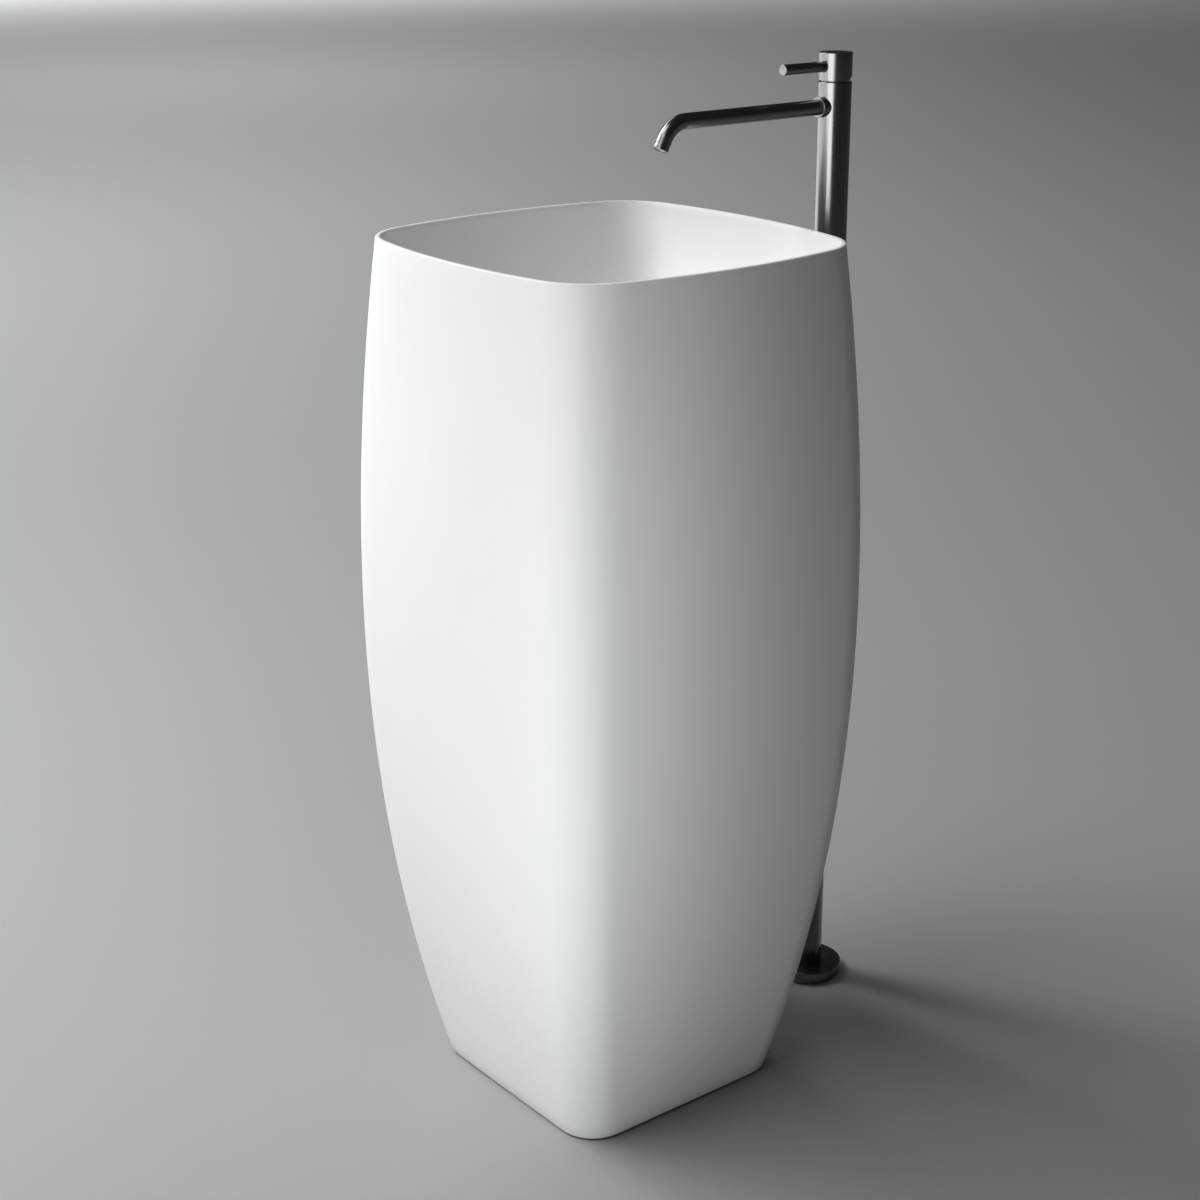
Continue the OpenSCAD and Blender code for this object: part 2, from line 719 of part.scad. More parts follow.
// Cap that carries the lever. The rear half of its underside slopes up to leave room for the tilt.
module handle_cap() {
    color(gunmetal) at_tap() difference() {
        translate([0, 0, cap_base]) rotate_extrude() polygon([
            [0, 0], [column_r, 0], [column_r, tap_top - cap_base - 0.5],
            [column_r - 0.5, tap_top - cap_base], [0, tap_top - cap_base]
        ]);
        translate([0, 0, cap_base]) rotate([cap_wedge_angle, 0, 0])
            translate([-30, 0, -20]) cube([60, 60, 20]);
        translate([0, 0, cap_base - eps]) cylinder(r = cap_bore_r, h = cap_ceiling - cap_base + eps);
        translate([-stem_half, -stem_half, cap_ceiling - 1])
            cube([2 * stem_half, 2 * stem_half, socket_depth + 1]);
        translate([0, 0, lever_z]) rotate([90, 0, 0]) {
            cylinder(r = lever_stud_r, h = column_r);
            translate([0, 0, cap_bore_r]) cylinder(r = lever_r + 0.4, h = 5);
        }
        translate([0, 0, lever_z]) rotate([-90, 0, 0]) cylinder(r = grub_r, h = column_r + eps);
    }
}

module handle_grub_screw() {
    color(steel) at_tap() translate([0, 2.5, lever_z]) rotate([-90, 0, 0]) difference() {
        cylinder(r = grub_r, h = 12);
        translate([0, 0, 9]) cylinder(d = 2.2, h = 5, $fn = 6);
    }
}

module lever_rod() {
    color(gunmetal) at_tap() translate([0, 0, lever_z]) rotate([90, 0, 0]) {
        translate([0, 0, stem_half]) cylinder(r = lever_stud_r, h = column_r - stem_half);
        rotate_extrude() polygon([
            [0, cap_bore_r], [lever_r, cap_bore_r], [lever_r, lever_reach - 0.4],
            [lever_r - 0.4, lever_reach], [0, lever_reach]
        ]);
    }
}

// Ring around the spout's root, cut to sit on the column
module spout_collar() {
    color(gunmetal) difference() {
        along_spout() rotate_extrude() polygon([
            [spout_r, 10], [collar_r, 10], [collar_r, column_r + collar_out - 0.4],
            [collar_r - 0.4, column_r + collar_out], [spout_r, column_r + collar_out]
        ]);
        at_tap() translate([0, 0, spout_z - 30]) cylinder(r = column_r, h = 60);
    }
}

// Threaded hollow nipple between the valve body and the spout, with two ring grooves
module spout_nipple() {
    color(brass) along_spout() rotate_extrude() polygon([
        [3.5, 5], [spout_bore_r, 5], [spout_bore_r, 11], [nipple_groove_r, 11], [nipple_groove_r, 12.5],
        [spout_bore_r, 12.5], [spout_bore_r, 24], [nipple_groove_r, 24], [nipple_groove_r, 25.5],
        [spout_bore_r, 25.5], [spout_bore_r, 30], [3.5, 30]
    ]);
}

module spout_o_rings() {
    color(black_rubber) along_spout() for (z = [11, 24])
        tube(spout_bore_r - 0.02, nipple_groove_r, z, 1.5);
}

// One bent pipe. The bend is a hair thinner, so that it joins the straight runs without a tangent seam.
module spout_tube() {
    color(gunmetal) {
        difference() {
            along_spout() tube(spout_r, spout_bore_r, 13, spout_run + bend_lap - 13);
            at_tap() translate([0, 0, spout_z - 30]) cylinder(r = column_bore_r, h = 60);
        }
        at_spout_bend() rotate_extrude(angle = spout_bend) translate([bend_r, 0]) difference() {
            circle(r = spout_r - bend_ease);
            circle(r = spout_bore_r + bend_ease);
        }
        at_spout_end() tube(spout_r, spout_bore_r, -bend_lap, bend_tail + bend_lap - aerator_h);
    }
}

// Ring screwed to the spout's end, a hair narrower so that a fine line shows
module aerator_housing() {
    color(gunmetal) at_spout_end() translate([0, 0, bend_tail - aerator_h]) rotate_extrude() polygon([
        [spout_bore_r, 0], [spout_r - 0.5, 0], [spout_r - 0.5, aerator_groove_h], [spout_r, aerator_groove_h],
        [spout_r, aerator_h - 0.4], [spout_r - 0.4, aerator_h], [spout_r - 1.2, aerator_h],
        [spout_r - 1.2, 2], [spout_bore_r, 2]
    ]);
}

module aerator_seal() {
    color(black_rubber) at_spout_end() translate([0, 0, bend_tail - aerator_h + 2])
        tube(spout_r - 1.3, spout_bore_r, 0, 0.8);
}

// Perforated disc that mixes air into the water
module aerator_insert() {
    color(white_plastic) at_spout_end() translate([0, 0, bend_tail - aerator_h + 2.8]) difference() {
        cylinder(r = spout_r - 1.2, h = 2.2);
        for (a = [0:60:300]) rotate(a) translate([2.6, 0, -eps]) cylinder(r = 0.6, h = 4);
        for (a = [15:30:345]) rotate(a) translate([4.9, 0, -eps]) cylinder(r = 0.6, h = 4);
        translate([0, 0, -eps]) cylinder(r = 0.6, h = 4);
    }
}

pedestal_shell();
bowl();
floor_gasket();
bracket_left();
bracket_right();
wall_screws();
screw_caps();
waste_body();
flange_gasket();
lower_gasket();
waste_washer();
waste_locknut();
click_cartridge();
plug_cap();
plug_seal();
plug_stem();
plug_spring();
trap_inlet_nut();
trap_inlet_seal();
trap_cover();
trap_cover_seal();
trap_chamber();
trap_cup();
trap_outlet_nut();
trap_outlet_seal();
drain_pipe();
tap_base_plate();
column_grub_screws();
floor_flange();
flange_ring();
column_tube();
hot_hose();
cold_hose();
hose_nuts();
valve_body();
cartridge_seal();
cartridge_body();
cartridge_nut();
dome_cover();
stem_carrier();
stem_pin();
cartridge_stem();
handle_cap();
handle_grub_screw();
lever_rod();
spout_collar();
spout_nipple();
spout_o_rings();
spout_tube();
aerator_housing();
aerator_seal();
aerator_insert();
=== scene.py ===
"""Looks of the freestanding basin and its floor-standing tap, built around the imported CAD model.

Lengths are in metres in the row frame: +Z is up, the basin's axis is the Z axis and the tap stands at +Y.
"""
import json
import math

import bmesh
import bpy
from mathutils import Matrix, Vector

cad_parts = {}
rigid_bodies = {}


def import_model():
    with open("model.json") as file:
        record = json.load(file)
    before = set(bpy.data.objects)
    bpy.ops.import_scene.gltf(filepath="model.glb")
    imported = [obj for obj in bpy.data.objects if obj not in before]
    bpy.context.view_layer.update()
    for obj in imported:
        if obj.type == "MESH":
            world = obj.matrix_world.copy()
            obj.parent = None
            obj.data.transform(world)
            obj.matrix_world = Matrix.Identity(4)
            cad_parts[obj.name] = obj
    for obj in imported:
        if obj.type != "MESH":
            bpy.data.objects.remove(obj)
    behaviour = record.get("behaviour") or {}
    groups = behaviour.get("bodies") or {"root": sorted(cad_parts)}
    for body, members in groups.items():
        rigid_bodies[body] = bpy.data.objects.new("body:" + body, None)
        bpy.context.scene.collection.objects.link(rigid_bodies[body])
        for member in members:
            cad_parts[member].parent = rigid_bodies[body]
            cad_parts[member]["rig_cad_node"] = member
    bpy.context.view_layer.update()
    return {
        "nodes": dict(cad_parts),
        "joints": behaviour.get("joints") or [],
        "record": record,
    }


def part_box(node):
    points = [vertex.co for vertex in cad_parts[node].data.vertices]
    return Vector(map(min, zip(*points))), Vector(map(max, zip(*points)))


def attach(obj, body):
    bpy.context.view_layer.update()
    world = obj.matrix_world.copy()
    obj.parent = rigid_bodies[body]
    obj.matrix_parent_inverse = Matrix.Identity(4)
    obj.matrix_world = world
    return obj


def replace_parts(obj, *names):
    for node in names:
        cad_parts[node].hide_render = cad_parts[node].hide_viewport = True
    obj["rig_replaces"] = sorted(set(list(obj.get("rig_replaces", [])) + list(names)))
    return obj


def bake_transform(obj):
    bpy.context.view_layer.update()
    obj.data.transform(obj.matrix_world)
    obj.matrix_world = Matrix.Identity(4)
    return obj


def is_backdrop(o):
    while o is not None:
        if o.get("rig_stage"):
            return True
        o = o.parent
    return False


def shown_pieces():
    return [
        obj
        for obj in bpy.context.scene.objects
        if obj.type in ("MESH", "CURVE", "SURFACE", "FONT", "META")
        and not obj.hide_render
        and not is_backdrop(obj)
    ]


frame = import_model()
nodes = frame["nodes"]

MM = 0.001
TURN = 2 * math.pi


# ---------------------------------------------------------------- sizes taken from the frame

def centre_of(node):
    """Middle of a node's box."""
    low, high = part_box(node)
    return (low + high) / 2


def half_width(node):
    """Half of a node's width along X, which is the radius of a round node."""
    low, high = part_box(node)
    return (high.x - low.x) / 2


RIM_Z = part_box("bowl")[1].z
FOOT_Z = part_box("pedestal_shell")[0].z
JOINT_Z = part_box("pedestal_shell")[1].z
BOWL_UNDER_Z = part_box("lower_gasket")[1].z
RECESS_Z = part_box("flange_gasket")[0].z

TAP_Y = centre_of("column_tube").y
COLUMN_R = half_width("column_tube")
COLUMN_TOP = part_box("column_tube")[1].z
CAP_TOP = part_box("handle_cap")[1].z
CAP_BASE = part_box("handle_cap")[0].z
LEVER_Z = centre_of("lever_rod").z
LEVER_R = half_width("lever_rod")
LEVER_REACH = TAP_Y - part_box("lever_rod")[0].y
SPOUT_R = half_width("spout_tube")
SPOUT_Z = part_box("spout_tube")[1].z - SPOUT_R
COLLAR_R = half_width("spout_collar")
COLLAR_REACH = TAP_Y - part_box("spout_collar")[0].y
FLANGE_R = half_width("floor_flange")
FLANGE_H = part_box("floor_flange")[1].z

# Profile of the basin's outside: half width at the foot, two pulls and the rim
FOOT_HALF = 133.5 * MM
LOWER_PULL = 209.2 * MM
UPPER_PULL = 222.3 * MM
RIM_HALF = 194.0 * MM
FOOT_CORNER = 39.6 * MM
RIM_CORNER = 69.5 * MM
FOOT_BOW = 13.2
RIM_BOW = 0.65
LIP_W = 5 * MM
LIP_ROUND = 1.5 * MM
SHELL_WALL = 8 * MM
FOOT_IN = 118.5 * MM
FOOT_RING_TOP = 48 * MM
FOOT_BLEND_TOP = 84 * MM
FOOT_EASE = 0.7 * MM
SPIGOT_H = 12 * MM
GLUE_GAP = 0.5 * MM
BOWL_DEPTH = 135 * MM
BOWL_MOUTH = RIM_HALF - LIP_W
BOWL_CENTRE = 20 * MM
BOWL_POWER = 2 / 3.2
BOWL_DRAFT = 0.1
BOWL_CORNER = 0.36
BOWL_BOW = 0.3
BOWL_EDGE = 0.975
FLOOR_WALL = 10 * MM
WASTE_HOLE_R = 23 * MM
RECESS_R = 34 * MM
RECESS_EASE = 0.4 * MM

RING_POINTS = 160
CORNER_BIAS = math.radians(6.4)
LATHE_POINTS = 128
SHARP = 32  # degrees: a sharper edge is shaded as an edge


# ---------------------------------------------------------------- mesh helpers

def finish_mesh(name, verts, faces, body, replaced, sharp=SHARP):
    """Makes a closed smooth object that replaces CAD nodes. It rides on a body, if one is given."""
    mesh = bpy.data.meshes.new(name)
    mesh.from_pydata([tuple(v) for v in verts], [], faces)
    obj = bpy.data.objects.new(name, mesh)
    bpy.context.scene.collection.objects.link(obj)
    tidy_mesh(obj, sharp)
    if body:
        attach(obj, body)
    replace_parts(obj, *replaced)
    return obj


def tidy_mesh(obj, sharp):
    """Welds, turns the normals outwards, shades smooth and keeps edges sharper than an angle."""
    work = bmesh.new()
    work.from_mesh(obj.data)
    bmesh.ops.remove_doubles(work, verts=work.verts, dist=1e-7)
    bmesh.ops.recalc_face_normals(work, faces=work.faces)
    limit = math.radians(sharp)
    for face in work.faces:
        face.smooth = True
    for edge in work.edges:
        edge.smooth = not (edge.is_manifold and edge.calc_face_angle(0) > limit)
    work.to_mesh(obj.data)
    work.free()
    obj.data.update()


def closed_rings(rings):
    """Faces of rings that close on themselves, like a tyre."""
    count, around = len(rings), len(rings[0])
    verts = [p for ring in rings for p in ring]
    faces = []
    for j in range(count):
        k = (j + 1) % count
        for i in range(around):
            n = (i + 1) % around
            faces.append((j * around + i, j * around + n, k * around + n, k * around + i))
    return verts, faces


def lathe(profile_at, around=LATHE_POINTS):
    """Turned solid about +Z. profile_at(angle) gives the same number of (radius, height) points at
    every angle; a first or last point on the axis becomes a pole, and otherwise the outline closes."""
    first = profile_at(0.0)
    start_pole = first[0][0] == 0
    end_pole = first[-1][0] == 0
    verts, loops = [], []
    for j, point in enumerate(first):
        on_axis = (j == 0 and start_pole) or (j == len(first) - 1 and end_pole)
        if on_axis:
            verts.append(Vector((0, 0, point[1])))
            loops.append([len(verts) - 1])
            continue
        loops.append([])
        for i in range(around):
            angle = TURN * i / around
            r, z = profile_at(angle)[j]
            loops[-1].append(len(verts))
            verts.append(Vector((r * math.cos(angle), r * math.sin(angle), z)))
    faces = []
    pairs = list(zip(loops, loops[1:]))
    if not (start_pole and end_pole):
        pairs.append((loops[-1], loops[0]))
    for a, b in pairs:
        for i in range(around):
            n = (i + 1) % around
            if len(a) == 1 and len(b) == 1:
                continue
            if len(a) == 1:
                faces.append((a[0], b[n], b[i]))
            elif len(b) == 1:
                faces.append((a[i], a[n], b[0]))
            else:
                faces.append((a[i], a[n], b[n], b[i]))
    return verts, faces


def rounded(corners, arc_steps=4):
    """Replaces each (radius, height, fillet) corner of an outline by an arc. The ends stay."""
    out = []
    for i, (r, z, fillet) in enumerate(corners):
        here = Vector((r, z))
        if fillet == 0 or i in (0, len(corners) - 1):
            out.append((r, z))
            continue
        to_last = (Vector(corners[i - 1][:2]) - here).normalized()
        to_next = (Vector(corners[i + 1][:2]) - here).normalized()
        half = to_last.angle(to_next) / 2
        reach = fillet / math.tan(half)
        middle = here + (to_last + to_next).normalized() * fillet / math.sin(half)
        a, b = here + to_last * reach - middle, here + to_next * reach - middle
        sweep = a.angle(b)
        for k in range(arc_steps + 1):
            t = k / arc_steps
            p = (a * math.sin((1 - t) * sweep) + b * math.sin(t * sweep)) / math.sin(sweep)
            out.append((middle.x + p.x, middle.y + p.y))
    return out


def turned(name, corners, body, replaced, place=Matrix.Identity(4)):
    """A turned piece from corners in millimetres, put in place by a matrix."""
    outline = rounded([(r * MM, z * MM, f * MM) for r, z, f in corners])
    verts, faces = lathe(lambda angle: outline)
    return finish_mesh(name, [place @ v for v in verts], faces, body, replaced)


def rod(radius, low, high, place, around=64):
    """Points and faces of a plain cylinder, for cutting holes."""
    verts, faces = lathe(lambda angle: [(0, low), (radius, low), (radius, high), (0, high)], around)
    return [place @ v for v in verts], faces


def block(low, high, place):
    """Points and faces of a box between two corners."""
    verts = [place @ Vector((x, y, z)) for x in (low[0], high[0]) for y in (low[1], high[1])
             for z in (low[2], high[2])]
    return verts, [(0, 1, 3, 2), (4, 6, 7, 5), (0, 4, 5, 1), (2, 3, 7, 6), (0, 2, 6, 4), (1, 5, 7, 3)]


def cut(obj, solids, sharp=SHARP, operation="DIFFERENCE"):
    """Subtracts closed solids, given as (points, faces), from a piece, or adds them to it."""
    for verts, faces in solids:
        mesh = bpy.data.meshes.new("cutter")
        mesh.from_pydata([tuple(v) for v in verts], [], faces)
        tool = bpy.data.objects.new("cutter", mesh)
        bpy.context.scene.collection.objects.link(tool)
        tidy_mesh(tool, sharp)
        modifier = obj.modifiers.new("cut", "BOOLEAN")
        modifier.operation = operation
        modifier.solver = "EXACT"
        modifier.object = tool
        bpy.context.view_layer.update()
        shaped = bpy.data.meshes.new_from_object(obj.evaluated_get(bpy.context.evaluated_depsgraph_get()))
        obj.modifiers.clear()
        obj.data = shaped
        bpy.data.objects.remove(tool)
    obj.data.name = obj.name
    tidy_mesh(obj, sharp)
    return obj


AT_TAP = Matrix.Translation((0, TAP_Y, 0))
# Local +Z runs out of the column towards the basin, local +Y is up
ALONG_SPOUT = Matrix.Translation((0, TAP_Y, SPOUT_Z)) @ Matrix.Rotation(math.pi / 2, 4, "X")
ALONG_LEVER = Matrix.Translation((0, TAP_Y, LEVER_Z)) @ Matrix.Rotation(math.pi / 2, 4, "X")


# ---------------------------------------------------------------- basin

def fold(angle):
    """Brings a direction into the first eighth of the square."""
    m = angle % (math.pi / 2)
    return math.pi / 2 - m if m > math.pi / 4 else m


def reach(angle, half, corner, bow):
    """Distance from the axis to a rounded square with bowed sides, in one direction."""
    f = fold(angle)
    d = bow - half
    centre = (-d + math.sqrt(max(2 * (bow - corner) ** 2 - d * d, 0))) / 2
    turn = math.atan2(centre, centre + d)
    side_end = math.atan2(bow * math.sin(turn), bow * math.cos(turn) - d)
    if f <= side_end:
        return -d * math.cos(f) + math.sqrt(bow * bow - (d * math.sin(f)) ** 2)
    across = centre * (math.sin(f) - math.cos(f))
    return centre * (math.cos(f) + math.sin(f)) + math.sqrt(corner * corner - across * across)


def ring(half, corner, bow, z):
    """Points of one outline at height z, crowded towards the corners."""
    points = []
    for i in range(RING_POINTS):
        s = TURN * i / RING_POINTS
        a = s + CORNER_BIAS * math.sin(4 * s)
        d = reach(a, half, corner, bow)
        points.append(Vector((d * math.cos(a), d * math.sin(a), z)))
    return points


def circle_ring(radius, z):
    """A round outline, with its points where ring() puts them."""
    return ring(radius, radius * 0.9999, radius * 1.0001, z)


def outside_at(z):
    """Half width, corner radius and bow radius of the outside at height z."""
    t = z / RIM_Z
    u = 1 - t
    half = u**3 * FOOT_HALF + 3 * u * u * t * LOWER_PULL + 3 * u * t * t * UPPER_PULL + t**3 * RIM_HALF
    corner = FOOT_CORNER + (RIM_CORNER - FOOT_CORNER) * t
    return half, corner, 1 / (u / FOOT_BOW + t / RIM_BOW)


def wall_ring(z, inwards):
    """The outside's outline at height z, moved inwards."""
    half, corner, bow = outside_at(z)
    return ring(half - inwards, corner - inwards, bow - inwards, z)


def smooth_step(t):
    """Eases from 0 to 1."""
    t = min(max(t, 0), 1)
    return t * t * (3 - 2 * t)


def wall_at(z):
    """Thickness of the pedestal's wall: a thick foot that blends into a thin shell."""
    foot = outside_at(min(z, FOOT_RING_TOP))[0] - FOOT_IN
    t = smooth_step((z - FOOT_RING_TOP) / (FOOT_BLEND_TOP - FOOT_RING_TOP))
    return foot * (1 - t) + SHELL_WALL * t


def bowl_curve(s):
    """Half width and height of the bowl's inside, from the rim (s = 0) to the middle (s = 1)."""
    drop = BOWL_DEPTH * math.sin(math.pi / 2 * s)
    wide = BOWL_MOUTH - BOWL_DRAFT * drop - BOWL_CENTRE
    return Vector((BOWL_CENTRE + wide * max(math.cos(math.pi / 2 * s), 0) ** BOWL_POWER, RIM_Z - drop))


def bowl_under(s):
    """The bowl's underside: the same curve moved outwards and down by the wall."""
    step = 0.01
    along = (bowl_curve(min(s + step, 1)) - bowl_curve(s - step)).normalized()
    p = bowl_curve(s)
    return Vector((p.x - along.y * SHELL_WALL, max(p.y + along.x * FLOOR_WALL, BOWL_UNDER_Z)))


def bowl_ring(p, s):
    """Outlines turn from the lip's inner outline to a circle on the way down."""
    c = s**2.5
    corner = p.x * (BOWL_CORNER + (1 - BOWL_CORNER) * c)
    bow = p.x / (BOWL_BOW + (1 - BOWL_BOW) * c)
    near_lip = 1 - smooth_step(s / 0.14)
    lip = outside_at(RIM_Z)
    corner += (lip[1] - LIP_W - corner) * near_lip
    bow += (lip[2] - LIP_W - bow) * near_lip
    return ring(p.x, min(corner, p.x * 0.9999), max(bow, p.x * 1.0001), p.y)


def steps(start, end, count):
    """Even steps from start to end, both included."""
    return [start + (end - start) * k / count for k in range(count + 1)]


def outside_rings():
    """From the foot's eased edge up to the lip."""
    foot = [wall_ring(FOOT_Z, FOOT_EASE), wall_ring(FOOT_Z + FOOT_EASE * 0.3, FOOT_EASE * 0.3)]
    walls = [wall_ring(z, 0) for z in steps(FOOT_Z + FOOT_EASE, RIM_Z - LIP_ROUND, 52)]
    return foot + walls


def lip_rings():
    """Two quarter rounds with a flat between them."""
    rings = []
    count = 12
    for k in range(1, count):
        a = math.pi * k / count
        middle = LIP_ROUND if a <= math.pi / 2 else LIP_W - LIP_ROUND
        rings.append(wall_ring(RIM_Z - LIP_ROUND * (1 - math.sin(a)), middle - LIP_ROUND * math.cos(a)))
    return rings


def bowl_rings():
    """Down the bowl's inside, into the waste's seat and out along the underside."""
    first = 2 / math.pi * math.asin(LIP_ROUND / BOWL_DEPTH)
    inside = [bowl_ring(bowl_curve(s), s) for s in steps(first, BOWL_EDGE, 56)]
    edge_z = bowl_curve(BOWL_EDGE).y
    seat = [
        circle_ring(RECESS_R + RECESS_EASE, edge_z),
        circle_ring(RECESS_R, edge_z - RECESS_EASE),
        circle_ring(RECESS_R, RECESS_Z),
        circle_ring(WASTE_HOLE_R, RECESS_Z),
        circle_ring(WASTE_HOLE_R, BOWL_UNDER_Z),
    ]
    under = [bowl_ring(bowl_under(s), s) for s in steps(0.97, 0.35, 24)]
    return inside + seat + under


def cavity_rings():
    """From the bowl's spigot down the pedestal's inside to the foot."""
    low = JOINT_Z - SPIGOT_H
    drop = 5 * MM
    rings = [wall_ring(low, SHELL_WALL + GLUE_GAP), wall_ring(low, SHELL_WALL)]
    rings += [wall_ring(z, wall_at(z)) for z in steps(low - drop, FOOT_BLEND_TOP, 20)]
    rings += [wall_ring(z, wall_at(z)) for z in steps(FOOT_BLEND_TOP - drop, FOOT_RING_TOP, 8)]
    return rings + [wall_ring(FOOT_Z, wall_at(FOOT_Z))]


def screw_seats():
    """Cutters for the two covered screws in the rear wall."""
    cutters = []
    hole_r, head_h = 3.5 * MM, 1.8 * MM
    cap_low, cap_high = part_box("screw_caps")
    seat_r = (cap_high.z - cap_low.z) / 2
    seat_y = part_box("wall_screws")[1].y - head_h
    to_rear = Matrix.Rotation(-math.pi / 2, 4, "X")
    for x in (cap_low.x + seat_r, cap_high.x - seat_r):
        place = Matrix.Translation((x, 0, (cap_low.z + cap_high.z) / 2)) @ to_rear
        cutters.append(rod(hole_r, FOOT_IN - 4 * MM, FOOT_IN + 40 * MM, place, 32))
        cutters.append(rod(seat_r, seat_y, seat_y + 20 * MM, place, 48))
    return cutters


def basin_body():
    """The barrel and its bowl in one piece, as they look once bonded and sanded."""
    verts, faces = closed_rings(outside_rings() + lip_rings() + bowl_rings() + cavity_rings())
    sharp = 40
    obj = finish_mesh("basin_body", verts, faces, "root", ("pedestal_shell", "bowl"), sharp)
    return cut(obj, screw_seats(), sharp)


# ---------------------------------------------------------------- tap

def floor_flange():
    """Cover over the base plate with an eased top edge and a shallow seat for its sealing ring."""
    r, h, skin = FLANGE_R / MM, FLANGE_H / MM, 3
    bore = COLUMN_R / MM + 0.1
    groove, groove_top, groove_low = bore + 1.4, h - 0.8, h - 2.3
    return turned("tap_floor_flange", [
        (r - skin, h - skin, 0), (r - skin, 0, 0.2), (r, 0, 0.4), (r, h, 1.1), (bore, h, 0.3),
        (bore, groove_top, 0), (groove, groove_top, 0), (groove, groove_low, 0), (bore, groove_low, 0),
        (bore, h - skin, 0)], "root", ("floor_flange",), AT_TAP)


def column():
    """Tall tube with the spout's hole and the two grub screws' holes."""
    r, top, wall = COLUMN_R / MM, COLUMN_TOP / MM, 2
    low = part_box("column_tube")[0].z / MM
    obj = turned("tap_column", [
        (r - wall, low, 0), (r, low, 0.2), (r, top, 0.8), (r - wall, top, 0.3), (r - wall, low + 1, 0)],
        "root", ("column_tube",), AT_TAP)
    grub_z = centre_of("column_grub_screws").z
    across = Matrix.Translation((0, TAP_Y, grub_z)) @ Matrix.Rotation(math.pi / 2, 4, "Y")
    return cut(obj, [
        rod(SPOUT_R + 0.05 * MM, 5 * MM, COLUMN_R * 2, ALONG_SPOUT),
        rod(2 * MM, -COLUMN_R * 1.5, COLUMN_R * 1.5, across, 32)])


def handle_cap():
    """Cap that carries the lever. Behind the axis its underside slopes up to leave room for the tilt."""
    base, top, r, bore = CAP_BASE, CAP_TOP, COLUMN_R, 16 * MM
    slope = math.tan(math.radians(21.3))
    ceiling = CAP_TOP - 17.4 * MM
    ease = 0.35 * MM
    grub_hole_r, grub_start = 2.05 * MM, 9 * MM
    past_wall = COLUMN_R + 4 * MM

    def profile(angle):
        rear = max(math.sin(angle), 0) * slope
        side = [(bore, ceiling), (bore, base + bore * rear), (r - ease, base + (r - ease) * rear),
                (r, base + r * rear + ease)]
        edge = rounded([(r, base, 0), (r, top, 0.6 * MM), (0, top, 0)], 5)[1:-1]
        return [(0, ceiling), *side, *edge, (r * 0.5, top), (0, top)]

    verts, faces = lathe(profile)
    obj = finish_mesh("tap_handle_cap", [AT_TAP @ v for v in verts], faces, "handle", ("handle_cap",))
    to_rear = ALONG_LEVER @ Matrix.Rotation(math.pi, 4, "X")
    return cut(obj, [
        rod(LEVER_R + 0.4 * MM, bore, past_wall, ALONG_LEVER),
        rod(grub_hole_r, grub_start, past_wall, to_rear, 32)])


def lever():
    """Straight rod on a thinner stud, with an eased end."""
    tip, root, r = LEVER_REACH / MM, 16, LEVER_R / MM
    stud_r, stud_start = 3, 3.5
    return turned("tap_lever", [
        (0, stud_start, 0), (stud_r, stud_start, 0.2), (stud_r, root, 0), (r, root, 0.2),
        (r, tip, 0.5), (0, tip, 0)],
        "handle", ("lever_rod",), ALONG_LEVER)


def dome():
    """Ring cut from a ball about the lever's pivot, seen in the gap under the cap."""
    low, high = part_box("dome_cover")
    pivot = Vector(next(j["pos_m"] for j in frame["joints"] if j["name"] == "lever_lift"))
    outer, inner = 15.6 * MM, 14.2 * MM
    start, end = math.asin((low.z - pivot.z) / outer), math.asin((high.z - pivot.z) / outer)
    outside = [(outer * math.cos(a), pivot.z + outer * math.sin(a)) for a in steps(start, end, 12)]
    inside = [(inner * math.cos(a), pivot.z + inner * math.sin(a)) for a in steps(end, start, 6)]
    inside = [(r, min(max(z, low.z), high.z)) for r, z in inside]
    verts, faces = lathe(lambda angle: outside + inside)
    return finish_mesh("tap_dome", [AT_TAP @ v for v in verts], faces, "swivel", ("dome_cover",))


def collar():
    """Ring around the spout's root whose back follows the column."""
    front, ease, bore_ease = COLLAR_REACH, 0.5 * MM, 0.2 * MM

    def profile(angle):
        def seat(radius):
            return math.sqrt(COLUMN_R**2 - (radius * math.cos(angle)) ** 2)
        edge = rounded([(COLLAR_R, 0, 0), (COLLAR_R, front, ease), (SPOUT_R, front, 0)], 5)[1:-1]
        back = [(r, seat(r)) for r in steps(SPOUT_R, COLLAR_R, 4)]
        return back + edge + [(SPOUT_R + bore_ease, front), (SPOUT_R, front - bore_ease)]

    verts, faces = lathe(profile)
    return finish_mesh("tap_spout_collar", [ALONG_SPOUT @ v for v in verts], faces, "root", ("spout_collar",))


# The spout: its bend, the straight tail after it, and the ring on its end
BEND_R = 30 * MM
BEND = math.radians(62)
AERATOR_H = 6 * MM
TAIL = 11.4 * MM - AERATOR_H
SPOUT_WALL = 2.5 * MM
SPOUT_POINTS = 72


def spout_run():
    """Length of the spout's straight stretch from the column's axis, from its CAD box."""
    end_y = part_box("spout_tube")[0].y
    return TAP_Y - end_y - (BEND_R + SPOUT_R) * math.sin(BEND) - TAIL * math.cos(BEND)


def spout_stations():
    """Points and directions along the spout's centre line, in its local frame."""
    run = spout_run()
    out = [(Vector((0, 0, z)), 0.0) for z in (13 * MM, 30 * MM, run * 0.4, run * 0.7, run)]
    count = 28
    for k in range(1, count + 1):
        a = BEND * k / count
        out.append((Vector((0, -BEND_R * (1 - math.cos(a)), run + BEND_R * math.sin(a))), a))
    last = out[-1][0]
    out.append((last + Vector((0, -math.sin(BEND), math.cos(BEND))) * TAIL, BEND))
    return out


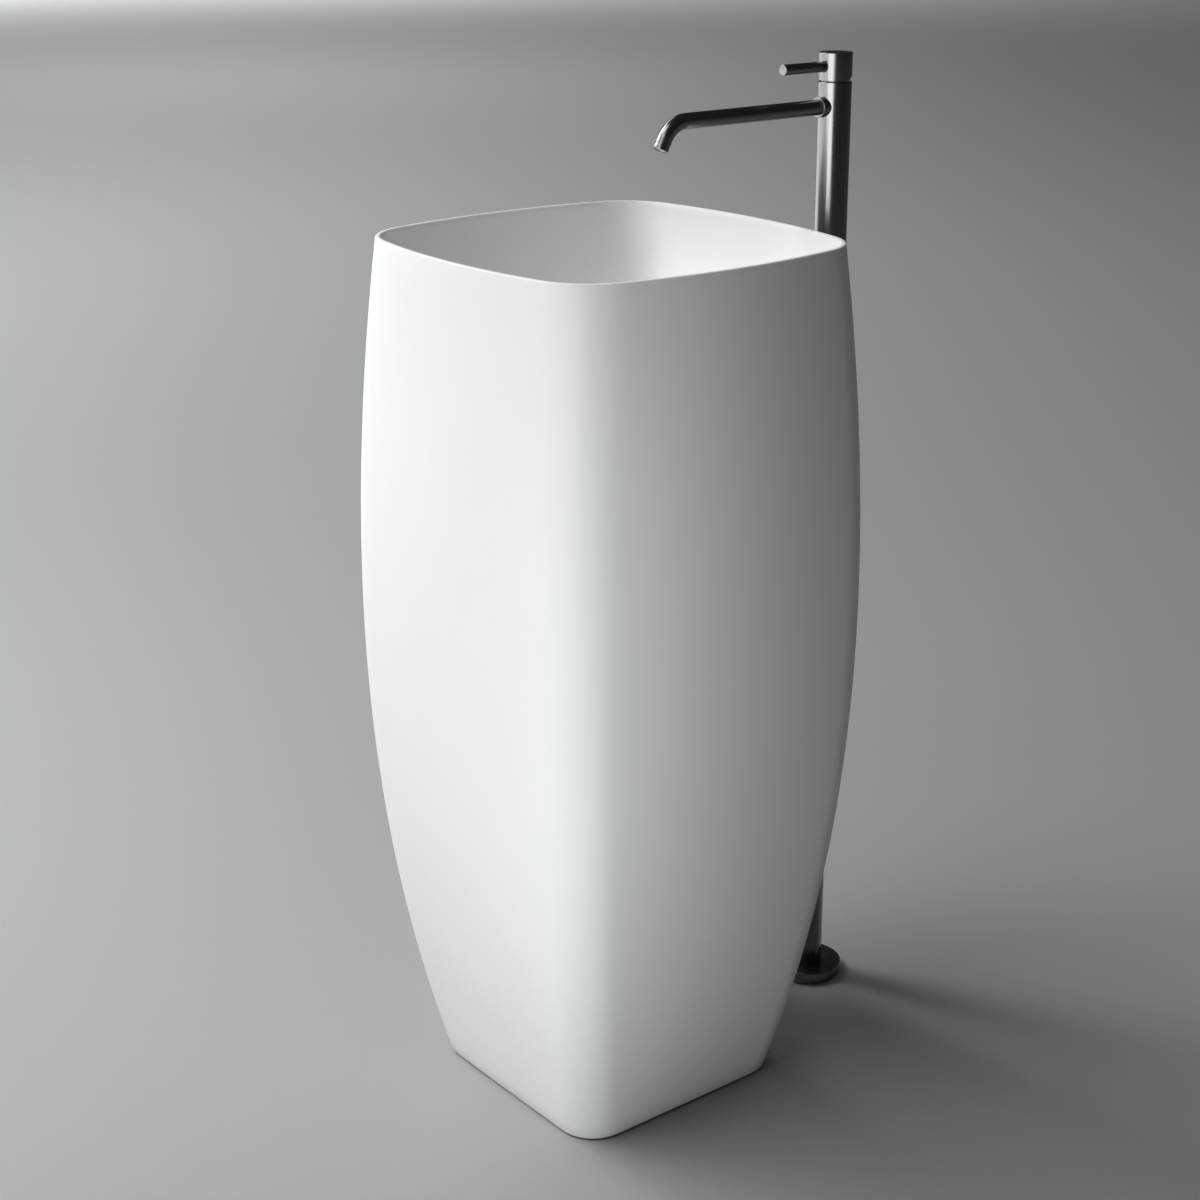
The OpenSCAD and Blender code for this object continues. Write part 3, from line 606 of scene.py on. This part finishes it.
def spout():
    """One bent pipe with its bore."""
    bore = SPOUT_R - SPOUT_WALL
    angles = [TURN * i / SPOUT_POINTS for i in range(SPOUT_POINTS)]

    def station_ring(centre, bend, radius):
        turn = Matrix.Rotation(bend, 3, "X")
        return [centre + turn @ Vector((radius * math.cos(a), radius * math.sin(a), 0)) for a in angles]

    stations = spout_stations()
    outside = [station_ring(centre, bend, SPOUT_R) for centre, bend in stations]
    inside = [station_ring(centre, bend, bore) for centre, bend in reversed(stations)]
    verts, faces = closed_rings(outside + inside)
    return finish_mesh("tap_spout", [ALONG_SPOUT @ v for v in verts], faces, "root", ("spout_tube",))


def spout_end():
    """Local frame at the spout's cut end, +Z pointing out of it."""
    centre, angle = spout_stations()[-1]
    return ALONG_SPOUT @ Matrix.Translation(centre) @ Matrix.Rotation(angle, 4, "X")


def aerator_ring():
    """Ring screwed to the spout's end, with the fine groove that parts them."""
    r, h, bore = SPOUT_R / MM, AERATOR_H / MM, (SPOUT_R - SPOUT_WALL) / MM
    groove_r, groove_h, mouth = r - 0.5, 0.8, r - 1.2
    return turned("tap_aerator_ring", [
        (bore, 0, 0), (groove_r, 0, 0), (groove_r, groove_h, 0), (r, groove_h, 0.12), (r, h, 0.4),
        (mouth, h, 0.2), (mouth, 2, 0), (bore, 2, 0)],
        "root", ("aerator_housing",), spout_end())


# ---------------------------------------------------------------- waste

def waste_plug():
    """Domed push plug with a neck for its seal."""
    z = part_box("plug_seal")[0].z / MM + 4.2
    r = half_width("plug_cap") / MM
    neck_r, boss_r, neck_low, boss_low = 15, 13, z - 5.5, z - 7.5
    rim_top, dome_h = z + 1.9, 2.9
    dome_angles = [math.radians(a) for a in range(75, -1, -5)]
    dome_points = [(r * math.sin(a), rim_top + dome_h * math.cos(a), 0) for a in dome_angles]
    return turned("waste_plug", [
        (0, boss_low, 0), (boss_r, boss_low, 0.3), (boss_r, neck_low, 0), (neck_r, neck_low, 0.3),
        (neck_r, z, 0.3), (r, z, 0.5), (r, rim_top, 0.8), *dome_points], "plug", ("plug_cap",))


def waste_flange():
    """Flange, tube and the spider that holds the push cartridge."""
    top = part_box("flange_gasket")[1].z / MM
    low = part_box("waste_body")[0].z / MM
    r, bore, tube = half_width("waste_body") / MM, 18, 21
    edge, face = top + 0.9, top + 2.5
    obj = turned("waste_flange", [
        (bore, low + 1, 0), (bore, low, 0.3), (tube, low, 0.4), (tube, top, 0), (r, top, 0.3),
        (r, edge, 0.3), (r - 4, face, 1.5), (bore, face, 1.2), (bore, low + 2, 0)],
        "root", ("waste_body",))
    return cut(obj, spider(), operation="UNION")


def spider():
    """Hub and three ribs across the waste's bore."""
    high = RECESS_Z - 22 * MM
    low = high - 8 * MM
    hub_in, hub_out, rib_start, rib_end, rib_half = 7 * MM, 9 * MM, 8 * MM, 18.6 * MM, 1.5 * MM
    hub = [(hub_in, low), (hub_out, low), (hub_out, high), (hub_in, high)]
    ribs = [block((rib_start, -rib_half, low), (rib_end, rib_half, high),
                  Matrix.Rotation(math.radians(turn), 4, "Z")) for turn in (0, 120, 240)]
    return [lathe(lambda angle: hub, 64), *ribs]


# The plug's return spring: its wire, and the turns at each end that lie nearly flat
SPRING_WIRE_R = 0.6 * MM
SPRING_COILS = 6
SPRING_END_TURNS = 0.75
SPRING_SIDES = 12
SPRING_TURN_STEPS = 28


def spring_height(turns, bottom, top):
    """Height of the wire's centre: it climbs little over the end turns and fast between them."""
    t = min(max((turns - SPRING_END_TURNS) / (SPRING_COILS - 2 * SPRING_END_TURNS), 0), 1)
    climb = 0.35 * smooth_step(t) + 0.65 * t
    lead = 2.4 * SPRING_WIRE_R
    return bottom + lead * turns / SPRING_COILS + (top - bottom - lead) * climb


def waste_spring():
    """Return spring between the waste's root and its plug. Its end coils cross slightly."""
    low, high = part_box("plug_spring")
    wire, sides = SPRING_WIRE_R, SPRING_SIDES
    radius = half_width("plug_spring") - wire
    bottom, top = low.z + wire, high.z - wire
    section = [(wire * math.cos(TURN * i / sides), wire * math.sin(TURN * i / sides)) for i in range(sides)]
    verts = []
    rings = SPRING_COILS * SPRING_TURN_STEPS + 1
    for k in range(rings):
        turns = k / SPRING_TURN_STEPS
        out = Vector((math.cos(TURN * turns), math.sin(TURN * turns), 0))
        z = spring_height(turns, bottom, top)
        verts += [out * (radius + across) + Vector((0, 0, z + up)) for across, up in section]
    faces = []
    for start in range(0, (rings - 1) * sides, sides):
        for i in range(sides):
            n = (i + 1) % sides
            faces.append((start + i, start + n, start + sides + n, start + sides + i))
    last = (rings - 1) * sides
    faces += [tuple(range(sides)), tuple(range(last, last + sides))]
    obj = finish_mesh("waste_spring", verts, faces, None, ("plug_spring",), 50)
    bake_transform(obj)
    return obj


# ---------------------------------------------------------------- materials

class Finish:
    """A procedural material: one Principled shader with pattern nodes on it."""

    def __init__(self, name, color, roughness, metallic=0.0):
        self.material = bpy.data.materials.new(name)
        self.material.use_nodes = True
        self.tree = self.material.node_tree
        self.tree.nodes.clear()
        output = self.tree.nodes.new("ShaderNodeOutputMaterial")
        self.shader = self.tree.nodes.new("ShaderNodeBsdfPrincipled")
        self.tree.links.new(self.shader.outputs["BSDF"], output.inputs["Surface"])
        self.color = (*color, 1.0)
        self.set("Base Color", self.color)
        self.set("Metallic", metallic)
        self.set("Roughness", roughness)
        self.set("IOR", 1.5)
        self.place = self.tree.nodes.new("ShaderNodeTexCoord").outputs["Object"]
        self.material.diffuse_color = self.color

    def set(self, socket, value):
        """Sets one plain value of the shader."""
        self.shader.inputs[socket].default_value = value

    def noise(self, scale, stretch=(1, 1, 1), detail=3.0):
        """Noise with features about 1/scale metres across, stretched along an axis."""
        mapping = self.tree.nodes.new("ShaderNodeMapping")
        mapping.inputs["Scale"].default_value = stretch
        self.tree.links.new(self.place, mapping.inputs["Vector"])
        noise = self.tree.nodes.new("ShaderNodeTexNoise")
        noise.inputs["Scale"].default_value = scale
        noise.inputs["Detail"].default_value = detail
        self.tree.links.new(mapping.outputs["Vector"], noise.inputs["Vector"])
        return noise.outputs["Fac"]

    def spangle(self, scale):
        """Flat grey cells, like zinc's crystals."""
        cells = self.tree.nodes.new("ShaderNodeTexVoronoi")
        cells.inputs["Scale"].default_value = scale
        self.tree.links.new(self.place, cells.inputs["Vector"])
        to_grey = self.tree.nodes.new("ShaderNodeRGBToBW")
        self.tree.links.new(cells.outputs["Color"], to_grey.inputs["Color"])
        return to_grey.outputs["Val"]

    def bands(self, scale, direction):
        """Even bands across a direction."""
        wave = self.tree.nodes.new("ShaderNodeTexWave")
        wave.bands_direction = direction
        wave.inputs["Scale"].default_value = scale
        self.tree.links.new(self.place, wave.inputs["Vector"])
        return wave.outputs["Fac"]

    def ranged(self, pattern, low, high):
        """Spreads a pattern's middle half between two values."""
        ramp = self.tree.nodes.new("ShaderNodeMapRange")
        ramp.inputs["From Min"].default_value = 0.25
        ramp.inputs["From Max"].default_value = 0.75
        ramp.inputs["To Min"].default_value = low
        ramp.inputs["To Max"].default_value = high
        self.tree.links.new(pattern, ramp.inputs["Value"])
        return ramp.outputs["Result"]

    def rough(self, pattern, low, high):
        """Roughness moves between two values with the pattern."""
        self.tree.links.new(self.ranged(pattern, low, high), self.shader.inputs["Roughness"])
        return self

    def tint(self, pattern, other):
        """Colour moves from the base colour to another one with the pattern."""
        mix = self.tree.nodes.new("ShaderNodeMix")
        mix.data_type = "RGBA"
        mix.inputs[6].default_value = self.color
        mix.inputs[7].default_value = (*other, 1.0)
        self.tree.links.new(self.ranged(pattern, 0.0, 1.0), mix.inputs[0])
        self.tree.links.new(mix.outputs[2], self.shader.inputs["Base Color"])
        return self

    def bump(self, pattern, depth, strength):
        """Relief of a depth in metres, laid over any relief before it."""
        bump = self.tree.nodes.new("ShaderNodeBump")
        bump.inputs["Distance"].default_value = depth
        bump.inputs["Strength"].default_value = strength
        self.tree.links.new(pattern, bump.inputs["Height"])
        normal = self.shader.inputs["Normal"]
        if normal.links:
            self.tree.links.new(normal.links[0].from_socket, bump.inputs["Normal"])
        self.tree.links.new(bump.outputs["Normal"], normal)
        return self


def basin_finish():
    """Sanded mineral composite: matte white with a fine grain."""
    f = Finish("basin_composite", (0.86, 0.865, 0.86), roughness=0.5)
    f.tint(f.noise(7, detail=2), (0.842, 0.85, 0.848))
    f.rough(f.noise(60), 0.46, 0.56)
    return f.bump(f.noise(1600), 0.02 * MM, 0.5)


def gunmetal_finish(name, stretch):
    """Dark satin metal with hairlines along the piece."""
    f = Finish(name, (0.19, 0.194, 0.199), metallic=1.0, roughness=0.24)
    f.tint(f.noise(500, stretch), (0.215, 0.218, 0.223))
    f.rough(f.noise(700, stretch), 0.2, 0.28)
    return f.bump(f.noise(1200, stretch), 0.01 * MM, 0.25)


def rubber_finish():
    """Black rubber of the gaskets and seals."""
    f = Finish("rubber", (0.025, 0.025, 0.026), roughness=0.75)
    f.tint(f.noise(80), (0.04, 0.04, 0.04))
    return f.bump(f.noise(900), 0.05 * MM, 0.5)


def zinc_finish():
    """Zinc-plated steel with a faint spangle."""
    f = Finish("zinc_steel", (0.52, 0.53, 0.55), metallic=1.0, roughness=0.38)
    f.tint(f.spangle(260), (0.62, 0.63, 0.64))
    f.rough(f.noise(220), 0.3, 0.46)
    return f.bump(f.noise(600), 0.04 * MM, 0.4)


def chrome_finish():
    """Polished chrome of the waste and its plug."""
    f = Finish("polished_waste", (0.76, 0.77, 0.79), metallic=1.0, roughness=0.09)
    f.rough(f.noise(300, (1, 1, 6)), 0.07, 0.14)
    return f.bump(f.noise(900), 0.004 * MM, 0.3)


def brass_finish():
    """Turned brass of the valve, its nuts, the nipple and the waste's locknut."""
    f = Finish("brass", (0.72, 0.53, 0.25), metallic=1.0, roughness=0.3)
    f.tint(f.noise(90), (0.64, 0.46, 0.2))
    f.rough(f.noise(400, (1, 1, 8)), 0.24, 0.38)
    return f.bump(f.noise(900, (0.2, 0.2, 3)), 0.03 * MM, 0.4)


def trap_finish():
    """White plastic of the trap, its nuts and the drain pipe."""
    f = Finish("trap_plastic", (0.8, 0.8, 0.78), roughness=0.42)
    f.tint(f.noise(30), (0.76, 0.76, 0.73))
    f.rough(f.noise(200), 0.36, 0.5)
    return f.bump(f.noise(1100), 0.03 * MM, 0.4)


def cartridge_finish():
    """Cream plastic of the cartridges and the moulded inserts."""
    f = Finish("cartridge_plastic", (0.78, 0.76, 0.68), roughness=0.3)
    f.tint(f.noise(60), (0.74, 0.72, 0.64))
    f.rough(f.noise(250), 0.25, 0.36)
    return f.bump(f.noise(1300), 0.02 * MM, 0.3)


def cap_finish():
    """White caps over the wall screws."""
    f = Finish("screw_cap", (0.85, 0.855, 0.85), roughness=0.5)
    f.tint(f.noise(40), (0.82, 0.83, 0.82))
    return f.bump(f.noise(1500), 0.02 * MM, 0.5)


def hose_finish():
    """Steel braid, whose weave is both colour and relief."""
    f = Finish("braided_hose", (0.5, 0.51, 0.52), metallic=1.0, roughness=0.35)
    weave = f.bands(260, "DIAGONAL")
    f.tint(weave, (0.16, 0.16, 0.17))
    f.rough(f.noise(500), 0.28, 0.42)
    return f.bump(weave, 0.3 * MM, 0.8)


LEVEL_METAL = ("lever_rod", "spout_tube", "spout_collar", "aerator_housing")
LEVEL_PIECES = ("tap_lever", "tap_spout", "tap_spout_collar", "tap_aerator_ring")


def dress(finishes, level):
    """Gives every CAD node and every piece the finish of its record slot. The tap's level pieces take
    the metal whose hairlines run level."""
    slots = {row["node"]: row["material_slot"] for row in frame["record"]["subparts"]}
    for name, obj in nodes.items():
        obj.data.materials.clear()
        obj.data.materials.append(finishes[slots[name]].material)
    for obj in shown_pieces():
        if "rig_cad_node" in obj:
            continue
        slot = slots[obj["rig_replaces"][0]]
        obj.data.materials.clear()
        obj.data.materials.append(finishes[slot].material)
    for obj in [nodes[name] for name in LEVEL_METAL] + [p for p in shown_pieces() if p.name in LEVEL_PIECES]:
        obj.data.materials[0] = level.material


# ---------------------------------------------------------------- studio

def camera():
    """The photograph's camera, solved from the rim, foot, silhouette and column."""
    data = bpy.data.cameras.new("camera")
    obj = bpy.data.objects.new("camera", data)
    bpy.context.scene.collection.objects.link(obj)
    obj.location = (1.6418, -1.3162, 1.2756)
    obj.rotation_euler = (math.radians(72.093), 0, math.radians(51.655))
    data.lens = 65.34
    data.sensor_width = 36
    data.shift_x = 0.0045
    data.shift_y = -0.0535
    data.clip_end = 200
    bpy.context.scene.camera = obj


def floor():
    """A plain floor that runs far past the view."""
    size = 90
    corners = [(-size, -size, 0), (size, -size, 0), (size, size, 0), (-size, size, 0)]
    mesh = bpy.data.meshes.new("floor")
    mesh.from_pydata(corners, [], [(0, 1, 2, 3)])
    obj = bpy.data.objects.new("floor", mesh)
    bpy.context.scene.collection.objects.link(obj)
    f = Finish("floor", (0.324, 0.336, 0.337), roughness=0.7)
    f.set("Specular IOR Level", 0.0)
    f.rough(f.noise(3), 0.65, 0.8)
    obj.data.materials.append(f.material)
    obj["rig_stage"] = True


# Compass direction of the camera, in degrees; the lights' turns count from it to the picture's left
CAMERA_SIDE = -38.3
COOL = (0.955, 1.0, 1.02)


def towards(turn, climb=0.0):
    """Unit vector towards a light."""
    a, e = math.radians(CAMERA_SIDE - turn), math.radians(climb)
    return Vector((math.cos(e) * math.cos(a), math.cos(e) * math.sin(a), math.sin(e)))


def light(name, kind, power, color=(1, 1, 1)):
    """A light that the camera does not see."""
    data = bpy.data.lights.new(name, kind)
    data.energy = power
    data.color = color
    obj = bpy.data.objects.new(name, data)
    bpy.context.scene.collection.objects.link(obj)
    obj.visible_camera = False
    return obj


def soft_sun(name, turn, climb, strength, width=25):
    """Light from a far, large source: its shadows are soft and it reaches everything evenly."""
    obj = light(name, "SUN", strength)
    obj.data.angle = math.radians(width)
    obj.rotation_euler = (-towards(turn, climb)).to_track_quat("-Z", "Y").to_euler()
    return obj


def softbox(name, turn, distance, height, size, power, color=(1, 1, 1)):
    """Rectangular light that faces the middle of the basin."""
    obj = light(name, "AREA", power, color)
    obj.data.shape = "RECTANGLE"
    obj.data.size, obj.data.size_y = size
    obj.location = towards(turn) * distance + Vector((0, 0, height))
    obj.rotation_euler = (Vector((0, 0, 0.5)) - obj.location).to_track_quat("-Z", "Y").to_euler()
    return obj


def card(name, turn, distance, height, size, power):
    """Large white card that shows in reflections and adds no diffuse light."""
    obj = softbox(name, turn, distance, height, size, power)
    obj.rotation_euler = (-towards(turn)).to_track_quat("-Z", "Y").to_euler()
    obj.visible_diffuse = False
    return obj


# Metres to the picture's left and away from the camera, and watts, of the boxes over the floor
CEILING = (
    (6, 1, 35), (4, 2, 176), (2.5, 5, 85), (2.5, 10, 103), (2.5, 18, 205), (10, 18, 1800), (-2, 18, 60))
# Turn, distance, height and watts of the strips that soften the edge between light and shade
CORNER_FILL = ((0, 0.55, 0.25, 0.54), (0, 0.55, 0.75, 0.44), (36, 1.2, 0.25, 1.29), (50, 0.55, 0.25, 0.27))
STRIP_SIZE = (0.12, 0.5)


def overhead(name, left, back, power, height=5.0, size=2.5):
    """Box that hangs over the floor and faces down."""
    obj = softbox(name, 0, 0, height, (size, size), power)
    obj.location += towards(90) * left - towards(0) * back
    obj.rotation_euler = (0, 0, 0)
    obj.data.spread = math.radians(130)
    return obj


def fill_strip(name, turn, distance, height, power, lit):
    """Weak upright strip close to the basin's front corner. It lights only one collection."""
    obj = softbox(name, turn, distance, height, STRIP_SIZE, power, COOL)
    obj.rotation_euler = (-towards(turn)).to_track_quat("-Z", "Y").to_euler()
    obj.visible_glossy = False
    obj.light_linking.receiver_collection = lit
    return obj


def studio(basin):
    """A dim world, soft suns, boxes beside the basin and over the floor, and the strips and cards."""
    world = bpy.data.worlds.new("world")
    bpy.context.scene.world = world
    world.use_nodes = True
    background = world.node_tree.nodes["Background"]
    background.inputs["Color"].default_value = (0.3, 0.31, 0.32, 1)
    background.inputs["Strength"].default_value = 0.115
    soft_sun("key", 60, 60, 0.45)
    soft_sun("side", 75, 50, 0.31)
    softbox("near_side", 120, 1.6, 1.9, (0.6, 0.6), 8.5)
    overhead("low_left", 2.0, 0.0, 20, 2.2, 0.8)
    overhead("low_front", 0.8, -1.2, 5.3, 2.2, 0.8)
    for number, (left, back, power) in enumerate(CEILING):
        overhead(f"overhead_{number}", left, back, power)
    lit = bpy.data.collections.new("lit_by_corner_fill")
    lit.objects.link(basin)
    for number, (turn, distance, height, power) in enumerate(CORNER_FILL):
        fill_strip(f"corner_fill_{number}", turn, distance, height, power, lit)
    back = soft_sun("back", -150, 45, 0.22, 40)
    back.visible_glossy = False
    card("card_front", 34, 2.5, 1.2, (2.1, 2.3), 63)
    card("card_side", 103, 1.8, 0.85, (3.8, 1.6), 38)
    bpy.context.scene.view_settings.view_transform = "Standard"


# ---------------------------------------------------------------- make everything

camera()
floor()
studio(basin_body())
floor_flange()
column()
handle_cap()
lever()
dome()
collar()
spout()
aerator_ring()
waste_plug()
waste_flange()
waste_spring()

dress({
    "basin": basin_finish(),
    "screw_cap": cap_finish(),
    "gunmetal": gunmetal_finish("gunmetal", (1, 1, 0.02)),
    "rubber": rubber_finish(),
    "zinc_steel": zinc_finish(),
    "polished_waste": chrome_finish(),
    "brass": brass_finish(),
    "trap_plastic": trap_finish(),
    "cartridge_plastic": cartridge_finish(),
    "braided_hose": hose_finish(),
}, gunmetal_finish("gunmetal_level", (1, 0.02, 1)))
